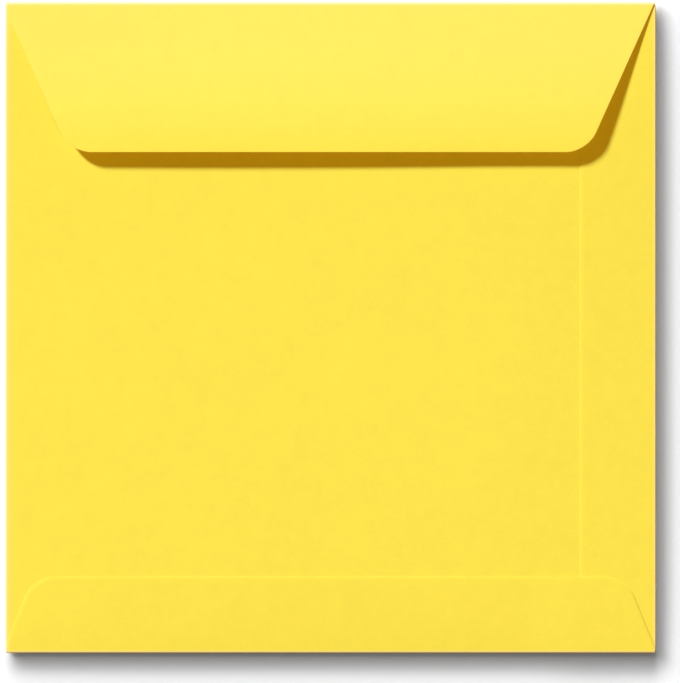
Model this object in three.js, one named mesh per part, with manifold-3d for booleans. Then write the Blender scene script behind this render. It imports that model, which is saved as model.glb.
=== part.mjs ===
// Square envelope, folded and glued from one die-cut sheet of coloured paper, with its closing flap sprung open.
// The flat blank is drawn panel by panel, scored into facets, folded over its four fold lines, and its laps are
// glued. It lies flap side up. Millimetres, +Z up. The origin is the centre of the envelope on the surface that
// it lies on, +X runs to the right and +Y to the closing flap's fold, seen from the flap side.

import * as THREE from 'three';
import { mergeVertices } from 'three/addons/utils/BufferGeometryUtils.js';
import Module from 'manifold-3d';

const wasm = await Module();
wasm.setup();

const { clamp, degToRad, lerp, smoothstep } = THREE.MathUtils;

// Envelope over its folds, and the paper
const width = 220;
const height = 220;
const paper = 0.15;

// Closing flap, from its fold to its free edge in plan
const closingFlapDepth = 50.7;
const closingFlapTaper = degToRad(24.9);
const closingFlapCorner = 11;
const closingFlapSlopeAtFold = degToRad(6.2);
const closingFlapSlopeAtEdge = degToRad(2.4);
const closingFlapCrown = 0.35;
const closingFlapTwist = 0.3;

// Side flap, glued over the back panel's lap
const sideFlapWidth = 25.4;
const lapWidth = 15;

// Bottom flap, glued over the back panel and the side flap, cut a little over to the left
const bottomFlapHeight = 25.4;
const bottomFlapTaper = degToRad(22.2);
const bottomFlapCorner = 9;
const bottomFlapSkirt = 2.2;
const bottomFlapSlip = 0.4;

// Mouth: the throat that is cut down between two shoulders
const throatDepth = 8;
const throatShoulder = degToRad(25);
const throatCorner = 10;

// Folds, and the notch that keeps the panels clear of each other's folds at each corner
const foldRadius = 0.15;
const scoredFoldEase = 0.03;
const cornerNotch = 0.6;

// Glue bands on the laps
const glueFilm = 0.03;
const glueBand = 8;
const glueInset = 12;
const glueSetback = 4;

// How the empty pocket stands up between its edges, and how the bottom flap comes down over the side flap's edge
const fullness = 1.1;
const swellRun = 80;
const seamRamp = 4;
const flapSettle = 6;

// Facets
const panelStep = 12.5;
const foldSteps = 6;
const flapSteps = 4;
const rampSteps = 2;
const cornerArcDivisions = 3;

// Outer radius of a fold that wraps round a number of plies
const ply = paper + glueFilm;
const foldOver = (plies) => foldRadius + paper + (plies * ply) / 2;

// Positions on the finished envelope
const seamX = width / 2 - sideFlapWidth;
const backEdgeX = seamX + lapWidth;
const bottomFlapEdgeY = -height / 2 + bottomFlapHeight;
const throatY = height / 2 - throatDepth;

// A panel beyond a fold: its fold line on the blank, the outer radius of the fold and the bends along it.
// A bend is a stretch of the sheet's middle with one curvature.
function foldedPanel(axis, sign, halfSize, outer, turn, curl = { length: Infinity, turn: 0 }) {
  const rollLength = turn * (outer - paper / 2);
  const fold = sign * (halfSize - outer);
  return { axis, sign, fold, rollLength, bends: [{ length: rollLength, turn }, curl] };
}

const closingFlapTurn = closingFlapSlopeAtFold - closingFlapSlopeAtEdge;
const closingFlapOuter = foldOver(2) + scoredFoldEase;
const closingFlapRadius =
  (closingFlapDepth - closingFlapOuter) / (Math.sin(closingFlapSlopeAtFold) - Math.sin(closingFlapSlopeAtEdge));
const closingFlapCurl = { length: closingFlapRadius * closingFlapTurn, turn: closingFlapTurn };

const back = foldedPanel('x', -1, width / 2, foldOver(0), Math.PI);
const side = foldedPanel('x', 1, width / 2, foldOver(1), Math.PI);
const bottom = foldedPanel('y', -1, height / 2, foldOver(2), Math.PI);
const closing = foldedPanel(
  'y', 1, height / 2, closingFlapOuter, Math.PI - closingFlapSlopeAtFold, closingFlapCurl,
);

// Ends of the back panel and the side flap, clear of the bottom and closing folds
const lowNotchY = bottom.fold + cornerNotch;
const highNotchY = closing.fold - cornerNotch;

// Where a finished position on a panel that is folded flat lies on the blank
const onBlank = (panel, finished) => 2 * panel.fold + panel.sign * panel.rollLength - finished;

// Point on the blank, with the radius of its corner if it has one
const corner = (x, y, radius = 0) => ({ x, y, radius });

// Closed outline through corners, with an arc at each one that has a radius
function outline(corners) {
  const shape = new THREE.Shape();
  corners.forEach((at, i) => {
    const point = new THREE.Vector2(at.x, at.y);
    const before = corners[(i + corners.length - 1) % corners.length];
    const after = corners[(i + 1) % corners.length];
    const toBefore = new THREE.Vector2(before.x, before.y).sub(point).normalize();
    const toAfter = new THREE.Vector2(after.x, after.y).sub(point).normalize();
    const half = Math.acos(toBefore.dot(toAfter)) / 2;
    const tangent = at.radius / Math.tan(half);
    const start = point.clone().addScaledVector(toBefore, tangent);
    const end = point.clone().addScaledVector(toAfter, tangent);
    shape[i ? 'lineTo' : 'moveTo'](start.x, start.y);
    if (at.radius) {
      const inward = toBefore.clone().add(toAfter).normalize();
      const centre = point.clone().addScaledVector(inward, at.radius / Math.sin(half));
      const fromAngle = Math.atan2(start.y - centre.y, start.x - centre.x);
      const toAngle = Math.atan2(end.y - centre.y, end.x - centre.x);
      shape.absarc(centre.x, centre.y, at.radius, fromAngle, toAngle, toBefore.cross(toAfter) > 0);
    }
  });
  return shape.getPoints(cornerArcDivisions);
}

// Outlines of the five panels on the blank

function frontOutline() {
  return outline([
    corner(back.fold, bottom.fold),
    corner(side.fold, bottom.fold),
    corner(side.fold, closing.fold),
    corner(back.fold, closing.fold),
  ]);
}

// A panel that closes the pocket: the roll of its fold, a shoulder sloping down to the throat, and its free edge
function pocketOutline(panel, freeEdgeX) {
  const freeEdge = onBlank(panel, freeEdgeX);
  const shoulderTop = panel.fold + panel.sign * panel.rollLength;
  const shoulderFoot = shoulderTop + (panel.sign * (highNotchY - throatY)) / Math.tan(throatShoulder);
  const corners = [
    corner(panel.fold, lowNotchY),
    corner(freeEdge, lowNotchY),
    corner(freeEdge, throatY),
    corner(shoulderFoot, throatY, throatCorner),
    corner(shoulderTop, highNotchY),
    corner(panel.fold, highNotchY),
  ];
  return outline(panel.sign > 0 ? corners : corners.reverse());
}

// A flap whose two sides run in towards its free edge, after a short skirt on each side
function taperedOutline(panel, freeEdge, taper, radius, leftSkirt, rightSkirt) {
  const run = (skirt) => Math.abs(freeEdge - skirt) * Math.tan(taper);
  const corners = [
    corner(back.fold, panel.fold),
    corner(back.fold, leftSkirt),
    corner(back.fold + run(leftSkirt), freeEdge, radius),
    corner(side.fold - run(rightSkirt), freeEdge, radius),
    corner(side.fold, rightSkirt),
    corner(side.fold, panel.fold),
  ];
  return outline(panel.sign < 0 ? corners : corners.reverse());
}

function bottomOutline() {
  const slip = bottomFlapSlip / Math.tan(bottomFlapTaper);
  const skirtEnd = (skirt) => onBlank(bottom, -height / 2 + skirt);
  return taperedOutline(
    bottom, onBlank(bottom, bottomFlapEdgeY), bottomFlapTaper, bottomFlapCorner,
    skirtEnd(bottomFlapSkirt + slip), skirtEnd(bottomFlapSkirt - slip),
  );
}

// The closing flap's sides run in from the outer line of its fold
function closingOutline() {
  const freeEdge = closing.fold + closing.rollLength + closingFlapCurl.length;
  const skirtEnd = closing.fold + closing.rollLength - closingFlapOuter;
  return taperedOutline(closing, freeEdge, closingFlapTaper, closingFlapCorner, skirtEnd, skirtEnd);
}

// Score lines. Panels that lie on each other are scored at the same finished positions, so they bend alike.

const stepsBetween = (from, to, steps) => Array.from({ length: steps + 1 }, (_, i) => lerp(from, to, i / steps));
const columns = Math.round(width / panelStep);
const rows = Math.round(height / panelStep);
const gridX = stepsBetween(-width / 2, width / 2, columns).slice(1, -1);
const gridY = stepsBetween(-height / 2, height / 2, rows).slice(1, -1);
const acrossSeam = [...gridX, ...stepsBetween(seamX - seamRamp, seamX - paper, rampSteps)];
const alongPocket = [...gridY, lowNotchY, highNotchY];

const rollScores = (panel) => stepsBetween(panel.fold, panel.fold + panel.sign * panel.rollLength, foldSteps).slice(1);

function curlScores() {
  const start = closing.fold + closing.rollLength;
  return stepsBetween(start, start + closingFlapCurl.length, flapSteps).slice(1, -1);
}

const panels = [
  { points: frontOutline(), x: acrossSeam, y: alongPocket },
  {
    points: pocketOutline(back, backEdgeX),
    x: [...rollScores(back), ...gridX.map((x) => onBlank(back, x))],
    y: alongPocket,
  },
  {
    points: pocketOutline(side, seamX),
    x: [...rollScores(side), ...gridX.map((x) => onBlank(side, x))],
    y: alongPocket,
  },
  {
    points: bottomOutline(),
    x: acrossSeam,
    y: [
      ...rollScores(bottom),
      onBlank(bottom, bottom.fold + flapSettle),
      ...gridY.map((y) => onBlank(bottom, y)),
    ],
  },
  { points: closingOutline(), x: acrossSeam, y: [...rollScores(closing), ...curlScores()] },
];

// Cuts a polygon along a line of constant x or y
function cut(polygon, axis, at) {
  const low = [];
  const high = [];
  polygon.forEach((point, i) => {
    const next = polygon[(i + 1) % polygon.length];
    if (point[axis] <= at) low.push(point);
    if (point[axis] >= at) high.push(point);
    if ((point[axis] - at) * (next[axis] - at) < 0) {
      const share = (at - point[axis]) / (next[axis] - point[axis]);
      const crossing = point.clone().lerp(next, share);
      crossing[axis] = at;
      low.push(crossing);
      high.push(crossing);
    }
  });
  return [low, high].filter((part) => part.length > 2 && Math.abs(THREE.ShapeUtils.area(part)) > 0);
}

function scored({ points, x, y }) {
  const cutAll = (cells, axis, lines) => lines.reduce((all, at) => all.flatMap((cell) => cut(cell, axis, at)), cells);
  return cutAll(cutAll([points], 'x', x), 'y', y);
}

// Share of the full swell across one size: none at the folds, all of it past the run, straight between scores
function rise(position, size, cells) {
  const along = clamp((position / size + 0.5) * cells, 0, cells);
  const cell = Math.min(Math.floor(along), cells - 1);
  const share = (line) => Math.min((Math.min(line, cells - line) * size) / cells / swellRun, 1);
  const atScore = (line) => Math.sin((Math.PI / 2) * share(line)) ** 2;
  return lerp(atScore(cell), atScore(cell + 1), along - cell);
}

// Height that the empty pocket's back panel stands up, over the height at its folds
const swell = (x, y) => fullness * rise(x, width, columns) * rise(y, height, rows);

// How far the bottom flap lies lower over the single back panel than over the side flap
function settle(x, y) {
  const offSeam = 1 - smoothstep(x, seamX - seamRamp, seamX - paper);
  return ply * offSeam * smoothstep(y, bottom.fold, bottom.fold + flapSettle);
}

// How the closing flap bows up in the middle of its free edge and twists up at its left
function lift(x, reach) {
  const aside = (2 * x) / width;
  return reach * (closingFlapCrown * (1 - aside * aside) - closingFlapTwist * aside);
}

// Follows a panel's bends for a distance past its fold line: how far it goes outwards, how high it is, and the
// angle it has turned through. Depth is measured from the sheet's middle towards the face inside the fold.
function bend(panel, distance, depth) {
  let left = distance;
  let out = 0;
  let up = paper / 2;
  let angle = 0;
  for (const { length, turn } of panel.bends) {
    const run = Math.min(left, length);
    const turned = (turn * run) / length;
    const radius = length / turn;
    out += turned ? radius * (Math.sin(angle + turned) - Math.sin(angle)) : run * Math.cos(angle);
    up += turned ? radius * (Math.cos(angle) - Math.cos(angle + turned)) : run * Math.sin(angle);
    angle += turned;
    left -= run;
    if (left <= 0) break;
  }
  return { out: out - depth * Math.sin(angle), up: up + depth * Math.cos(angle), angle };
}

// Takes a point of the blank to its place on the folded envelope. Inset is its distance from the outer face.
function folded(x, y, inset) {
  const panel = [back, side].find(({ fold, sign }) => sign * (x - fold) > 0)
    ?? [bottom, closing].find(({ fold, sign }) => sign * (y - fold) > 0);
  if (!panel) return new THREE.Vector3(x, y, inset);
  const distance = panel.sign * ((panel.axis === 'x' ? x : y) - panel.fold);
  const { out, up, angle } = bend(panel, distance, inset - paper / 2);
  const place = new THREE.Vector3(x, y, up);
  place[panel.axis] = panel.fold + panel.sign * out;
  if (panel === closing) {
    place.z += lift(x, Math.max(distance - panel.rollLength, 0) / closingFlapCurl.length);
    return place;
  }
  const wrapped = (1 - Math.cos(angle)) / 2;
  place.z += wrapped * (swell(place.x, place.y) - (panel === bottom ? settle(place.x, place.y) : 0));
  return place;
}

// Facets of one cell. A four-sided cell creases along the diagonal that stands up more, on every ply alike.
function facets(cell) {
  if (cell.length !== 4) return THREE.ShapeUtils.triangulateShape(cell, []);
  const heights = cell.map(({ x, y }) => {
    const place = folded(x, y, 0);
    return swell(place.x, place.y);
  });
  const evenDiagonal = heights[0] + heights[2] >= heights[1] + heights[3];
  return evenDiagonal ? [[0, 1, 2], [0, 2, 3]] : [[1, 2, 3], [1, 3, 0]];
}

// The folded sheet: both faces of every cell, and a wall along each cut edge
function foldedSheet() {
  const positions = [];
  const indices = [];
  const numbers = new Map();
  const edges = new Map();
  const key = ({ x, y }) => `${x} ${y}`;
  const number = (point) => {
    if (!numbers.has(key(point))) {
      numbers.set(key(point), positions.length / 3);
      positions.push(...folded(point.x, point.y, 0), ...folded(point.x, point.y, paper));
    }
    return numbers.get(key(point));
  };
  for (const cell of panels.flatMap(scored)) {
    const ids = cell.map(number);
    for (const [a, b, c] of facets(cell)) {
      indices.push(ids[a] + 1, ids[b] + 1, ids[c] + 1);
      indices.push(ids[a], ids[c], ids[b]);
    }
    ids.forEach((from, i) => {
      const to = ids[(i + 1) % ids.length];
      if (!edges.delete(`${to} ${from}`)) edges.set(`${from} ${to}`, [from, to]);
    });
  }
  for (const [from, to] of edges.values()) {
    indices.push(from, to, to + 1);
    indices.push(from, to + 1, from + 1);
  }
  const geometry = new THREE.BufferGeometry();
  geometry.setAttribute('position', new THREE.Float32BufferAttribute(positions, 3));
  geometry.setIndex(indices);
  return geometry;
}

// A band of glue between two plies, from the middle of the lower one to the middle of the upper one
function glue(fromX, toX, fromY, toY, plies) {
  const sizeX = toX - fromX;
  const sizeY = toY - fromY;
  const steps = (size) => Math.ceil(size / panelStep);
  const band = new THREE.BoxGeometry(sizeX, sizeY, 1, steps(sizeX), steps(sizeY), 1);
  band.translate((fromX + toX) / 2, (fromY + toY) / 2, 0);
  const place = band.getAttribute('position');
  for (let i = 0; i < place.count; i += 1) {
    const outer = foldOver(plies + (place.getZ(i) > 0 ? 1 : 0));
    place.setZ(i, 2 * outer - paper / 2 + swell(place.getX(i), place.getY(i)));
  }
  return band;
}

function glueBands() {
  const sideMiddle = seamX + lapWidth / 2;
  const bottomMiddle = -height / 2 + bottomFlapHeight / 2;
  const half = glueBand / 2;
  const low = bottomMiddle - half;
  const high = bottomMiddle + half;
  return [
    glue(sideMiddle - half, sideMiddle + half, lowNotchY + glueSetback, throatY - glueSetback, 0),
    glue(back.fold + glueInset, seamX - seamRamp - glueSetback, low, high, 0),
    glue(seamX + glueSetback, side.fold - glueInset, low, high, 1),
  ];
}

// Solids for joining
function solidOf(geometry) {
  const bare = geometry.clone();
  bare.deleteAttribute('normal');
  bare.deleteAttribute('uv');
  const merged = mergeVertices(bare, 1e-5);
  return new wasm.Manifold(new wasm.Mesh({
    numProp: 3,
    vertProperties: new Float32Array(merged.getAttribute('position').array),
    triVerts: new Uint32Array(merged.getIndex().array),
  }));
}

function geometryOf(solid) {
  const { vertProperties, triVerts } = solid.getMesh();
  const geometry = new THREE.BufferGeometry();
  geometry.setAttribute('position', new THREE.BufferAttribute(vertProperties, 3));
  geometry.setIndex(new THREE.BufferAttribute(triVerts, 1));
  geometry.computeVertexNormals();
  return geometry;
}

const sheet = glueBands().reduce((solid, band) => solid.add(solidOf(band)), solidOf(foldedSheet()));
const yellowPaper = new THREE.MeshStandardMaterial({ color: 0xfbe04e, roughness: 0.75, metalness: 0 });
const envelope = new THREE.Mesh(geometryOf(sheet), yellowPaper);
envelope.name = 'envelope';

const squareEnvelope = new THREE.Group();
squareEnvelope.add(envelope);

export default squareEnvelope;
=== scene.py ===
# Square envelope of yellow paper, lying flap side up on a pale floor under soft studio light.
# The sheet is cut out as one flat blank, given the paper's thickness, and then taken over its four folds.
# On the blank, x and y are where the paper lies before folding, and depth is how far a point is inside the
# outer face. The front panel keeps its place, and the other four panels come round onto it.

import math

import bmesh
import bpy
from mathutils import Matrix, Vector


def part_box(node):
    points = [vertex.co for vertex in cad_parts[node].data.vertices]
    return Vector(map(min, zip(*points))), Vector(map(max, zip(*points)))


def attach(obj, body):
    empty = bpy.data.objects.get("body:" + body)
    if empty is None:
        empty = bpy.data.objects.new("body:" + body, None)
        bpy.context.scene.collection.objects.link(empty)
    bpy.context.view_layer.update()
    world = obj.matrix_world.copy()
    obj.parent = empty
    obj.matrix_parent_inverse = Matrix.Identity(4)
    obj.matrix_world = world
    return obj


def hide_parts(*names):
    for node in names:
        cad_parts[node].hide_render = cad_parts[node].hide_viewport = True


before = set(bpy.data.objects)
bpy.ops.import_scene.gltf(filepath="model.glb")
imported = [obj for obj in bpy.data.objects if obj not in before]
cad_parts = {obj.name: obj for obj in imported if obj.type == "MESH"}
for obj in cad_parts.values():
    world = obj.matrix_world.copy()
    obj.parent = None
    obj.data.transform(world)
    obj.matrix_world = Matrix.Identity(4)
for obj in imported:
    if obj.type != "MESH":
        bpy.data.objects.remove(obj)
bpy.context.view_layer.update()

MM = 0.001
low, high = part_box("envelope")
width = high.x - low.x
height = high.y - low.y

# Paper and its folds
paper = 0.15 * MM
glue_film = 0.03 * MM
ply = paper + glue_film
fold_radius = 0.15 * MM
corner_notch = 0.6 * MM

# Closing flap, sprung open: straight from its fold, then easing down towards its free edge. It and the
# bottom flap are cut a little over to the left.
closing_depth = 50.9 * MM
closing_taper = math.radians(24.3)
closing_corner = 11 * MM
closing_skirt = 1.45 * MM
closing_slip = 0.65 * MM
closing_fold_ease = 0.03 * MM
closing_slope = math.radians(3.85)
closing_edge_slope = math.radians(0.5)
closing_straight = 33 * MM
closing_crown = 0.9 * MM
closing_twist = 0.05 * MM

# Side flap over the back panel's lap, and bottom flap over both
side_flap_width = 25.6 * MM
lap_width = 15 * MM
bottom_flap_height = 25.7 * MM
bottom_taper = math.radians(22.2)
bottom_corner = 11 * MM
bottom_skirt = 2.2 * MM
bottom_slip = 0.2 * MM

# Throat of the mouth, cut down between two shoulders
throat_depth = 8 * MM
throat_shoulder = math.radians(25)
throat_corner = 10 * MM

# How the empty pocket lies. Its folds stand a little off the floor, and its back panel bulges to a crest at
# x and y. The fuller the bulge, the sooner it rises from the bottom fold. The panel also springs up beside
# its creases, given here for its two sides and then for its two ends. The bottom flap comes down off the
# side seam over the ramp.
rim_rise = 0.38 * MM
rim_run = 60 * MM
bulge = 0.75 * MM
bulge_crest = (45 * MM, 40 * MM)
bulge_fullness = 5
crease_spring = (0.06 * MM, 0.3 * MM)
crease_run = (20 * MM, 12 * MM)
seam_ramp = 20 * MM

# How far a cut edge is pressed thinner, and the glue under a lap's edge, and how far in from the edge
edge_pinch = 0.02 * MM
glue_squeeze = 0.018 * MM
press_reach = 1 * MM

# Mesh: spacing of the cuts that let the blank bend, and rings along its cut edge
grid_step = 2.5 * MM
fold_steps = 12
roll_margins = [0.12 * MM, 0.5 * MM, 1.2 * MM]
edge_rings = [0.02 * MM, 0.28 * MM, 0.3 * MM, 0.4 * MM, 0.4 * MM, 0.6 * MM]
arc_segments = 14
edge_round = 0.008 * MM
edge_round_segments = 2
sharp_angle = math.radians(60)
surface_slack = 0.001 * MM
cut_slack = 0.0001 * MM

# Reach of the wear in from the cut edges, of the wear and painted highlight beside each fold, and the dried
# gum inside the closing flap
edge_wear_reach = 0.3 * MM
# The folds on the left and at the top face the key light, and their band of painted highlight is wider
back_fold_wear_and_highlight = 1.9 * MM
side_fold_wear_and_highlight = 0.8 * MM
bottom_fold_wear_and_highlight = 0.5 * MM
closing_fold_wear_and_highlight = 1.9 * MM
gum_from_edge = 3 * MM
gum_width = 18 * MM
gum_fade = 1 * MM

# Colours of the paper where it is clean; rubbed or under a painted highlight; on the paler crease line,
# which is crease whitening with a painted highlight; cut; and of the dried gum
yellow = (0.762, 0.653, 0.079, 1)
worn_and_highlight_yellow = (0.785, 0.665, 0.25, 1)
crease_and_highlight_yellow = (0.82, 0.75, 0.42, 1)
cut_yellow = (0.762, 0.65, 0.1, 1)
gum_brown = (0.64, 0.47, 0.05, 1)

# How strongly each kind of wear, each painted highlight and the gum show. The closing flap has a painted
# highlight, strongest at its fold and none at its free edge. Wear and painted highlight reach less into the
# hollows between the fibres, and the paler line of a crease, partly a painted highlight, comes in where the
# fold's wear and highlight are strongest.
edge_wear_share = 0.1
flap_highlight_share = 0.26
fold_wear_and_highlight_share = 0.9
hollow_share = 0.7
hollow_top = 0.6
crease_from = 0.85
crease_share = 0.8
gum_share = 0.25
gum_gloss = 0.3

# Surface of the paper. A layer of fibres has the degrees that it is turned and how many times longer than
# wide the fibres are. A layer of clouds has how many there are to the metre and how strong they are.
fibre_layers = [(12, 9), (71, 8), (128, 10)]
fibre_fineness = 900
fibre_band = (0.42, 0.72)
fibre_lightness = (0.985, 1.02)
fibre_height = 0.02 * MM
cloud_layers = [(28, 0.5), (210, 0.9), (900, 0.6)]
cloud_amount = 0.075
paper_roughness = 0.9
cut_roughness = 0.92
roughness_spread = (-0.04, 0.05)
paper_specular = 0.08
paper_bump = 0.25
cut_bump = 0.5

# Floor
floor_half = 6
floor_gap = 0.01 * MM
floor_white = (0.82, 0.82, 0.82, 1)
floor_roughness = 0.9
floor_specular = 0.2

# Camera, framed by the picture's size and the envelope's width in its pixels
picture_pixels = (680, 683)
envelope_pixels = 650.7
pixel = width / envelope_pixels
picture_centre = (3.2 * MM, -4.77 * MM)
camera_lens = 300
camera_near = 0.1
camera_far = 20

# Lights. The turn is in degrees from the closing flap's side, towards the left. The key light on the floor
# is a fan of lights, given by turn and height, that each light the floor as much as the next.
white = (1, 1, 1)
cool_white = (0.885, 1, 1)
warm_amber = (1, 0.541, 0.004)
key_light = {"turn": 45, "height_angle": 22, "spread_angle": 6.5, "strength": 7.5, "colour": cool_white}
warm_card = {"turn": 215, "height_angle": 60, "spread_angle": 60, "strength": 1.72, "colour": warm_amber}
floor_key_fan = [(0, 6.6), (12, 6.6), (24, 6.8), (36, 7.2), (48, 8), (60, 8.4)]
floor_key_spread = 9.5
floor_key_share = 0.49
floor_soft = {"turn": 60, "height_angle": 18, "spread_angle": 14, "strength": 1.5}
floor_fill = {"turn": 0, "height_angle": 90, "spread_angle": 170, "strength": 0.5}
fill_strength = 0.04


def smooth(value):
    """Eases from none to all as the value goes from 0 to 1."""
    share = min(max(value, 0), 1)
    return share * share * (3 - 2 * share)


def fold_outer(plies):
    """Outer radius of a fold that wraps round a number of plies."""
    return fold_radius + paper + plies * ply / 2


class Fold:
    """A fold line across the blank, and how the sheet bends past it.

    The axis is 0 for x and 1 for y, the sign is the side that the line is on, and the size is that of the
    envelope along the axis. Past the line the sheet rolls through its turn, and then takes the bends
    beyond, each a length and the angle that it turns.
    """

    def __init__(self, axis, sign, size, outer, turn, wear_and_highlight_reach, beyond=()):
        self.axis = axis
        self.sign = sign
        self.wear_and_highlight_reach = wear_and_highlight_reach
        self.line = sign * (size / 2 - outer)
        self.roll = turn * (outer - paper / 2)
        self.bends = [(self.roll, turn), *beyond, (math.inf, 0)]

    def on_blank(self, finished):
        """Where a finished position on a panel that is folded flat lies on the blank."""
        return 2 * self.line + self.sign * self.roll - finished

    def beyond(self, position):
        """How far a position on the blank is past the fold line."""
        return self.sign * (position[self.axis] - self.line)

    def wear_and_highlight(self, position):
        """How much the fold pales a point by wear and a painted highlight: all over its roll, and less and
        less beside it.
        """
        off_roll = abs(self.beyond(position) - self.roll / 2) - self.roll / 2
        return 1 - smooth(off_roll / self.wear_and_highlight_reach)


closing_outer = fold_outer(2) + closing_fold_ease
closing_droop = closing_slope - closing_edge_slope
closing_curl_run = closing_depth - closing_outer - closing_straight * math.cos(closing_slope)
closing_curl = closing_curl_run / math.cos((closing_slope + closing_edge_slope) / 2)
closing_bends = [(closing_straight, 0), (closing_curl, closing_droop)]

back = Fold(0, -1, width, fold_outer(0), math.pi, back_fold_wear_and_highlight)
side = Fold(0, 1, width, fold_outer(1), math.pi, side_fold_wear_and_highlight)
bottom = Fold(1, -1, height, fold_outer(2), math.pi, bottom_fold_wear_and_highlight)
closing = Fold(1, 1, height, closing_outer, math.pi - closing_slope, closing_fold_wear_and_highlight, closing_bends)
folds = (back, side, bottom, closing)

seam_x = width / 2 - side_flap_width
throat_y = height / 2 - throat_depth
low_notch = bottom.line + corner_notch
high_notch = closing.line - corner_notch
closing_edge = closing.line + closing.roll + closing_straight + closing_curl
bottom_edge = bottom.on_blank(-height / 2 + bottom_flap_height)
side_edge = side.on_blank(seam_x)
back_edge = back.on_blank(seam_x + lap_width)


def blank_corners():
    """Corners of the flat blank as x, y and radius, round from the bottom flap's left side."""
    low_slip = bottom_slip / math.tan(bottom_taper)
    low_left = bottom.on_blank(-height / 2 + bottom_skirt + low_slip)
    low_right = bottom.on_blank(-height / 2 + bottom_skirt - low_slip)
    low_left_run = (low_left - bottom_edge) * math.tan(bottom_taper)
    low_right_run = (low_right - bottom_edge) * math.tan(bottom_taper)
    high_slip = closing_slip / math.tan(closing_taper)
    high_left = closing.on_blank(height / 2 - closing_skirt - high_slip)
    high_right = closing.on_blank(height / 2 - closing_skirt + high_slip)
    high_left_run = (closing_edge - high_left) * math.tan(closing_taper)
    high_right_run = (closing_edge - high_right) * math.tan(closing_taper)
    shoulder = (high_notch - throat_y) / math.tan(throat_shoulder)
    return [
        (back.line, low_left, 0),
        (back.line + low_left_run, bottom_edge, bottom_corner),
        (side.line - low_right_run, bottom_edge, bottom_corner),
        (side.line, low_right, 0),
        (side.line, low_notch, 0),
        (side_edge, low_notch, 0),
        (side_edge, throat_y, 0),
        (side.line + side.roll + shoulder, throat_y, throat_corner),
        (side.line + side.roll, high_notch, 0),
        (side.line, high_notch, 0),
        (side.line, high_right, 0),
        (side.line - high_right_run, closing_edge, closing_corner),
        (back.line + high_left_run, closing_edge, closing_corner),
        (back.line, high_left, 0),
        (back.line, high_notch, 0),
        (back.line - back.roll, high_notch, 0),
        (back.line - back.roll - shoulder, throat_y, throat_corner),
        (back_edge, throat_y, 0),
        (back_edge, low_notch, 0),
        (back.line, low_notch, 0),
    ]


def spread(start, end, step):
    """Even positions from start to end, about a step apart."""
    count = max(1, round(abs(end - start) / step))
    return [start + (end - start) * i / count for i in range(count + 1)]


def roll_cuts(fold):
    """Positions of the cuts over the roll of a fold, with a few close beside it at each end."""
    end = fold.line + fold.sign * fold.roll
    cuts = spread(fold.line, end, fold.roll / fold_steps)
    for margin in roll_margins:
        cuts += [fold.line - fold.sign * margin, end + fold.sign * margin]
    return cuts


def cut_positions():
    """Where the blank is cut across, in x and in y, so that it can bend."""
    across = roll_cuts(back) + roll_cuts(side)
    across += spread(back_edge, back.line - back.roll, grid_step)
    across += spread(back.line, side.line, grid_step)
    across += spread(side.line + side.roll, side_edge, grid_step)
    along = roll_cuts(bottom) + roll_cuts(closing)
    along += spread(bottom_edge, bottom.line - bottom.roll, grid_step)
    along += spread(bottom.line, closing.line, grid_step)
    along += spread(closing.line + closing.roll, closing_edge, grid_step)
    return sorted(set(across)), sorted(set(along))


def cut_out_blank(bm):
    """Adds the blank's outline as one face, with its rounded corners."""
    corners = blank_corners()
    made = [bm.verts.new((x, y, 0)) for x, y, radius in corners]
    bm.faces.new(made)
    for i, (x, y, radius) in enumerate(corners):
        if radius:
            at = Vector((x, y))
            before = Vector(corners[i - 1][:2]) - at
            after = Vector(corners[(i + 1) % len(corners)][:2]) - at
            tangent = radius / math.tan(before.angle(after) / 2)
            bmesh.ops.bevel(
                bm,
                geom=[made[i]],
                offset=tangent,
                offset_type="OFFSET",
                segments=arc_segments,
                profile=0.5,
                affect="VERTICES",
                material=-1,
            )


def flat_blank():
    """The blank as a flat plate of paper, with rings along its cut edge and cuts where it will bend."""
    bm = bmesh.new()
    cut_out_blank(bm)
    bm.normal_update()
    from_edge = bm.verts.layers.float.new("from_edge")
    middle = bm.faces[:]
    reach = 0
    for ring in edge_rings:
        bmesh.ops.inset_region(bm, faces=middle, thickness=ring, use_boundary=True, use_even_offset=True)
        reach += ring
        for vert in middle[0].verts:
            vert[from_edge] = reach
    for axis, positions in enumerate(cut_positions()):
        across = Vector((axis == 0, axis == 1, 0))
        for position in positions:
            at = across * position
            geom = bm.verts[:] + bm.edges[:] + bm.faces[:]
            bmesh.ops.bisect_plane(bm, geom=geom, dist=cut_slack, plane_co=at, plane_no=across)
    bmesh.ops.reverse_faces(bm, faces=bm.faces[:])
    bmesh.ops.solidify(bm, geom=bm.faces[:], thickness=paper)
    bm.normal_update()
    return bm


def resting_share(x, y):
    """None at the pocket's folds and all of it where its front panel lies on the floor."""
    return smooth((width / 2 - abs(x)) / rim_run) * smooth((height / 2 - abs(y)) / rim_run)


def climb(position, half, crest):
    """Share of the way from the nearer fold to the crest."""
    if position < crest:
        return min(max((half + position) / (half + crest), 0), 1)
    return min(max((half - position) / (half - crest), 0), 1)


def bulge_lift(x, y):
    """How far the back panel stands up: its bulge, and its spring beside the creases."""
    across = math.sin(climb(x, width / 2, bulge_crest[0]) * math.pi / 2)
    along = climb(y, height / 2, bulge_crest[1])
    if y < bulge_crest[1]:
        along = 1 - (1 - along) ** bulge_fullness
    else:
        along = math.sin(along * math.pi / 2)
    halves = (width / 2, height / 2)
    sprung = 0
    for position, half, spring, run in zip((x, y), halves, crease_spring, crease_run):
        sprung += spring * (1 - math.exp(-max(half - abs(position), 0) / run))
    return bulge * across * along + sprung


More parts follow.
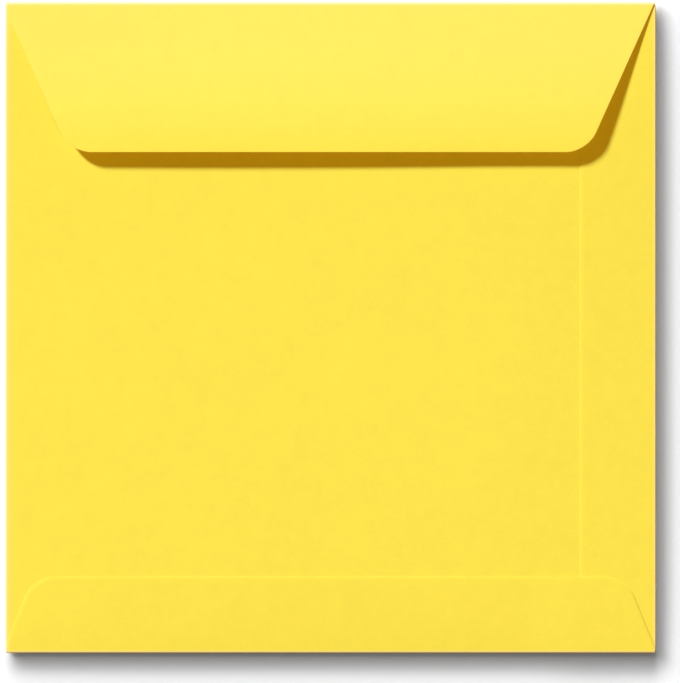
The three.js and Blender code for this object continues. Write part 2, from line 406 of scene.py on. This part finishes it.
def bend(fold, distance, depth):
    """How far out and up a point gets that is some way past a fold, and the angle turned there."""
    left = distance
    out = 0
    up = paper / 2
    angle = 0
    for length, turn in fold.bends:
        run = min(left, length)
        if turn:
            radius = length / turn
            turned = run / radius
            out += radius * (math.sin(angle + turned) - math.sin(angle))
            up += radius * (math.cos(angle) - math.cos(angle + turned))
            angle += turned
        else:
            out += run * math.cos(angle)
            up += run * math.sin(angle)
        left -= run
        if left <= 0:
            break
    inside = depth - paper / 2
    return out - inside * math.sin(angle), up + inside * math.cos(angle), angle


def fold_passed(position):
    """The fold that a point of the blank lies past, or none on the front panel."""
    for fold in folds:
        if fold.beyond(position) > surface_slack:
            return fold
    return None


def folded(position, edge_distance):
    """Takes a point of the blank to its place on the folded envelope."""
    fold = fold_passed(position)
    place = Vector(position)
    if fold is None:
        place.z += rim_rise * (1 - resting_share(place.x, place.y))
        return place
    distance = fold.beyond(position)
    pressed = max(1 - edge_distance / press_reach, 0)
    out, up, angle = bend(fold, distance, position.z + pressed * edge_pinch * (1 - position.z / paper))
    place[fold.axis] = fold.line + fold.sign * out
    place.z = up
    if fold is closing:
        aside = 2 * place.x / width
        reach = max(distance - closing.roll, 0) / (closing_edge - closing.line - closing.roll)
        place.z += rim_rise + reach * (closing_crown * (1 - aside * aside) - closing_twist * aside)
        return place
    wrapped = (1 - math.cos(angle)) / 2
    place.z += rim_rise + wrapped * bulge_lift(place.x, place.y)
    if fold in (side, bottom):
        place.z -= pressed * wrapped * glue_squeeze
    if fold is bottom:
        on_seam = smooth((place.x - seam_x + seam_ramp) / seam_ramp)
        place.z -= wrapped * ply * (1 - on_seam)
    return place


def round_cut_edge(bm):
    """Gives the wall of the cut edge its own material slot, and takes the sharpness off its two rims."""
    for face in bm.faces:
        face.smooth = True
        upright = abs(face.normal.z) < face.normal.xy.length
        face.material_index = 1 if upright else 0
    bmesh.ops.bevel(
        bm,
        geom=[edge for edge in bm.edges if edge.calc_face_angle(0) > sharp_angle],
        offset=edge_round,
        offset_type="OFFSET",
        segments=edge_round_segments,
        profile=0.5,
        affect="EDGES",
        material=-1,
        clamp_overlap=True,
    )


def fold_up(bm):
    """Stores each point's wear, painted highlight and gum while the blank is flat, and takes the point to
    its folded place.
    """
    from_edge = bm.verts.layers.float["from_edge"]
    edge_wear = bm.verts.layers.float.new("edge_wear")
    fold_wear_and_highlight = bm.verts.layers.float.new("fold_wear_and_highlight")
    flap_highlight = bm.verts.layers.float.new("flap_highlight")
    gum = bm.verts.layers.float.new("gum")
    for vert in bm.verts:
        flat = vert.co.copy()
        vert[edge_wear] = 1 - smooth(vert[from_edge] / edge_wear_reach)
        # Wear along each fold, with a painted highlight
        vert[fold_wear_and_highlight] = max(fold.wear_and_highlight(flat) for fold in folds)
        reach = max(closing.beyond(flat), 0) / (closing_edge - closing.line)
        # Painted highlight on the closing flap: strongest at its fold and none at its free edge
        vert[flap_highlight] = (1 - reach * reach) * (reach > 0)
        to_free_edge = closing_edge - flat.y
        gum_start = smooth((to_free_edge - gum_from_edge) / gum_fade)
        gum_end = smooth((gum_from_edge + gum_width - to_free_edge) / gum_fade)
        vert[gum] = gum_start * gum_end * (flat.z > paper / 2)
        vert.co = folded(flat, vert[from_edge])


def folded_sheet():
    """The envelope's one sheet, cut out, rounded along its cut edge and folded up."""
    bm = flat_blank()
    round_cut_edge(bm)
    fold_up(bm)
    mesh = bpy.data.meshes.new("folded_sheet")
    bm.to_mesh(mesh)
    bm.free()
    sheet = bpy.data.objects.new("folded_sheet", mesh)
    bpy.context.scene.collection.objects.link(sheet)
    return sheet


def add_node(tree, kind, values=None, **settings):
    """A node with its plain settings and the values of its inputs."""
    node = tree.nodes.new(kind)
    for name, value in settings.items():
        setattr(node, name, value)
    for name, value in (values or {}).items():
        node.inputs[name].default_value = value
    return node


def feed(tree, socket, value):
    """Gives an input its value, which is the output of another node or a plain number or colour."""
    if isinstance(value, bpy.types.NodeSocket):
        tree.links.new(value, socket)
    else:
        socket.default_value = value


def math_node(tree, operation, first, second):
    """Output of a sum on two values, each a socket or a number."""
    node = add_node(tree, "ShaderNodeMath", operation=operation)
    for socket, value in zip(node.inputs, (first, second)):
        feed(tree, socket, value)
    return node.outputs[0]


def ranged(tree, value, from_range, to_range):
    """Output of a value taken from one range to another."""
    ends = {
        "From Min": from_range[0],
        "From Max": from_range[1],
        "To Min": to_range[0],
        "To Max": to_range[1],
    }
    node = add_node(tree, "ShaderNodeMapRange", ends)
    tree.links.new(value, node.inputs["Value"])
    return node.outputs["Result"]


def blended(tree, share, first, second):
    """Output of a mix of two colours, each a socket or a colour."""
    node = add_node(tree, "ShaderNodeMix", data_type="RGBA")
    for name, value in (("Factor_Float", share), ("A_Color", first), ("B_Color", second)):
        feed(tree, next(s for s in node.inputs if s.identifier == name), value)
    return next(s for s in node.outputs if s.identifier == "Result_Color")


def stored(tree, name):
    """Output of a value that is stored on the sheet's points."""
    return add_node(tree, "ShaderNodeAttribute", attribute_name=name).outputs["Fac"]


def new_group(name, inputs, output):
    """An empty node group with its sockets, and its input and output nodes."""
    group = bpy.data.node_groups.new(name, "ShaderNodeTree")
    for socket_name, socket_type in inputs:
        group.interface.new_socket(socket_name, in_out="INPUT", socket_type=socket_type)
    group.interface.new_socket(output, in_out="OUTPUT", socket_type="NodeSocketFloat")
    return group, group.nodes.new("NodeGroupInput"), group.nodes.new("NodeGroupOutput")


def fibre_group():
    """Felted fibres lying in several directions: their height, from 0 to 1."""
    inputs = [("Position", "NodeSocketVector"), ("Fineness", "NodeSocketFloat")]
    group, given, result = new_group("paper_fibres", inputs, "Height")
    layers = None
    for turn, slimness in fibre_layers:
        laid = {"Rotation": (0, 0, math.radians(turn)), "Scale": (1, slimness, 1)}
        turned = add_node(group, "ShaderNodeMapping", laid)
        group.links.new(given.outputs["Position"], turned.inputs["Vector"])
        noise = add_node(group, "ShaderNodeTexNoise", {"Detail": 2.0, "Roughness": 0.6, "Distortion": 0.6})
        group.links.new(turned.outputs["Vector"], noise.inputs["Vector"])
        group.links.new(given.outputs["Fineness"], noise.inputs["Scale"])
        strands = ranged(group, noise.outputs["Fac"], fibre_band, (0, 1))
        layers = strands if layers is None else math_node(group, "MAXIMUM", layers, strands)
    group.links.new(layers, result.inputs["Height"])
    return group


def formation_group():
    """Cloudy look of a pressed sheet: a lightness around 1 that varies over centimetres and millimetres."""
    inputs = [("Position", "NodeSocketVector"), ("Amount", "NodeSocketFloat")]
    group, given, result = new_group("paper_formation", inputs, "Lightness")
    total = None
    for scale, weight in cloud_layers:
        noise = add_node(group, "ShaderNodeTexNoise", {"Scale": scale, "Detail": 3.0, "Roughness": 0.55})
        group.links.new(given.outputs["Position"], noise.inputs["Vector"])
        around_middle = math_node(group, "SUBTRACT", noise.outputs["Fac"], 0.5)
        part = math_node(group, "MULTIPLY", around_middle, weight)
        total = part if total is None else math_node(group, "ADD", total, part)
    varied = math_node(group, "MULTIPLY", total, given.outputs["Amount"])
    lightness = math_node(group, "ADD", varied, 1.0)
    group.links.new(lightness, result.inputs["Lightness"])
    return group


def paper_material(name, colour, roughness, bump_strength, fibres, formation):
    """Uncoated paper, dyed right through: cloudy, faintly fibrous, paler where it is cut or at a crease,
    with painted highlights along the folds and on the closing flap.
    """
    material = bpy.data.materials.new(name)
    material.use_nodes = True
    tree = material.node_tree
    surface = tree.nodes["Principled BSDF"]
    place = add_node(tree, "ShaderNodeTexCoord").outputs["Object"]

    clouds = add_node(tree, "ShaderNodeGroup", {"Amount": cloud_amount}, node_tree=formation)
    tree.links.new(place, clouds.inputs["Position"])
    strands = add_node(tree, "ShaderNodeGroup", {"Fineness": fibre_fineness}, node_tree=fibres)
    tree.links.new(place, strands.inputs["Position"])
    relief = strands.outputs["Height"]

    crease = stored(tree, "fold_wear_and_highlight")
    gummed = stored(tree, "gum")
    at_edge = math_node(tree, "MULTIPLY", stored(tree, "edge_wear"), edge_wear_share)
    # The closing flap's painted highlight
    flap_highlight_amount = math_node(tree, "MULTIPLY", stored(tree, "flap_highlight"), flap_highlight_share)
    # Wear along the folds, with a painted highlight
    at_fold = math_node(tree, "MULTIPLY", crease, fold_wear_and_highlight_share)
    wear_and_highlight = math_node(tree, "MAXIMUM", math_node(tree, "ADD", at_edge, flap_highlight_amount), at_fold)
    wear_and_highlight_share = math_node(tree, "MULTIPLY", wear_and_highlight, ranged(tree, relief, (0, hollow_top), (hollow_share, 1)))

    grain = ranged(tree, relief, (0, 1), fibre_lightness)
    lightness = math_node(tree, "MULTIPLY", clouds.outputs["Lightness"], grain)
    clean = add_node(tree, "ShaderNodeVectorMath", {0: colour[:3]}, operation="SCALE")
    tree.links.new(lightness, clean.inputs["Scale"])
    # Wear and the painted highlights pale the clean colour
    worn_and_highlighted = blended(tree, wear_and_highlight_share, clean.outputs["Vector"], worn_and_highlight_yellow)
    # The crease line: crease whitening with a painted highlight
    crease_line = ranged(tree, crease, (crease_from, 1), (0, crease_share))
    creased_and_highlighted = blended(tree, crease_line, worn_and_highlighted, crease_and_highlight_yellow)
    gum_film = math_node(tree, "MULTIPLY", gummed, gum_share)
    tree.links.new(blended(tree, gum_film, creased_and_highlighted, gum_brown), surface.inputs["Base Color"])

    smoothest, roughest = (roughness + change for change in roughness_spread)
    uneven = ranged(tree, relief, (0, 1), (smoothest, roughest))
    glossed = math_node(tree, "SUBTRACT", uneven, math_node(tree, "MULTIPLY", gummed, gum_gloss))
    tree.links.new(glossed, surface.inputs["Roughness"])

    surface.inputs["Specular IOR Level"].default_value = paper_specular
    bump = add_node(tree, "ShaderNodeBump", {"Strength": bump_strength, "Distance": fibre_height})
    tree.links.new(relief, bump.inputs["Height"])
    tree.links.new(bump.outputs["Normal"], surface.inputs["Normal"])
    return material


def floor_material():
    """Plain matt white of a studio table."""
    material = bpy.data.materials.new("studio_floor")
    material.use_nodes = True
    surface = material.node_tree.nodes["Principled BSDF"]
    surface.inputs["Base Color"].default_value = floor_white
    surface.inputs["Roughness"].default_value = floor_roughness
    surface.inputs["Specular IOR Level"].default_value = floor_specular
    return material


def studio_floor():
    """A wide plain floor just under the envelope."""
    bm = bmesh.new()
    bmesh.ops.create_grid(bm, x_segments=1, y_segments=1, size=floor_half)
    bmesh.ops.translate(bm, verts=bm.verts[:], vec=(0, 0, -floor_gap))
    mesh = bpy.data.meshes.new("studio_floor")
    bm.to_mesh(mesh)
    bm.free()
    floor = bpy.data.objects.new("studio_floor", mesh)
    bpy.context.scene.collection.objects.link(floor)
    floor.data.materials.append(floor_material())
    return floor


def overhead_camera():
    """A long lens straight above, framed as the picture is."""
    data = bpy.data.cameras.new("overhead_camera")
    data.lens = camera_lens
    data.clip_start = camera_near
    data.clip_end = camera_far
    camera = bpy.data.objects.new("overhead_camera", data)
    distance = max(picture_pixels) * pixel * camera_lens / data.sensor_width
    camera.location = (*picture_centre, distance + rim_rise)
    bpy.context.scene.collection.objects.link(camera)
    bpy.context.scene.camera = camera


def soft_light(name, lit, turn, height_angle, spread_angle, strength, colour=white):
    """A distant soft light on one object. Its angles are degrees round, degrees up and degrees wide."""
    data = bpy.data.lights.new(name, "SUN")
    data.color = colour
    data.energy = strength
    data.angle = math.radians(spread_angle)
    light = bpy.data.objects.new(name, data)
    round_z = math.radians(turn)
    up = math.radians(height_angle)
    towards = Vector((-math.sin(round_z) * math.cos(up), math.cos(round_z) * math.cos(up), math.sin(up)))
    light.rotation_euler = towards.to_track_quat("Z", "Y").to_euler()
    bpy.context.scene.collection.objects.link(light)
    receivers = bpy.data.collections.new(name + "_receivers")
    receivers.objects.link(lit)
    light.light_linking.receiver_collection = receivers


def studio_light(sheet, floor):
    """Lights for the sheet, lights for the floor, and an even white fill round them.

    The sheet has a low key from the upper left and a warm card opposite it. The floor has its own fan of
    low lights, a softer one from the left and a very wide one overhead.
    """
    soft_light("key_light", sheet, **key_light)
    soft_light("warm_card", sheet, **warm_card)
    for turn, height_angle in floor_key_fan:
        strength = floor_key_share / math.sin(math.radians(height_angle))
        soft_light(f"floor_key_{turn}", floor, turn, height_angle, floor_key_spread, strength)
    soft_light("floor_soft", floor, **floor_soft)
    soft_light("floor_fill", floor, **floor_fill)
    world = bpy.data.worlds.new("studio_fill")
    world.use_nodes = True
    world.cycles_visibility.glossy = False
    fill = world.node_tree.nodes["Background"]
    fill.inputs["Color"].default_value = (*white, 1)
    fill.inputs["Strength"].default_value = fill_strength
    bpy.context.scene.world = world


overhead_camera()

fibres = fibre_group()
formation = formation_group()
sheet = folded_sheet()
sheet.data.materials.append(
    paper_material("yellow_paper", yellow, paper_roughness, paper_bump, fibres, formation)
)
sheet.data.materials.append(
    paper_material("cut_paper", cut_yellow, cut_roughness, cut_bump, fibres, formation)
)
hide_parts("envelope")
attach(sheet, "root")
studio_light(sheet, studio_floor())

bpy.context.scene.view_settings.view_transform = "Standard"
bpy.context.view_layer.update()
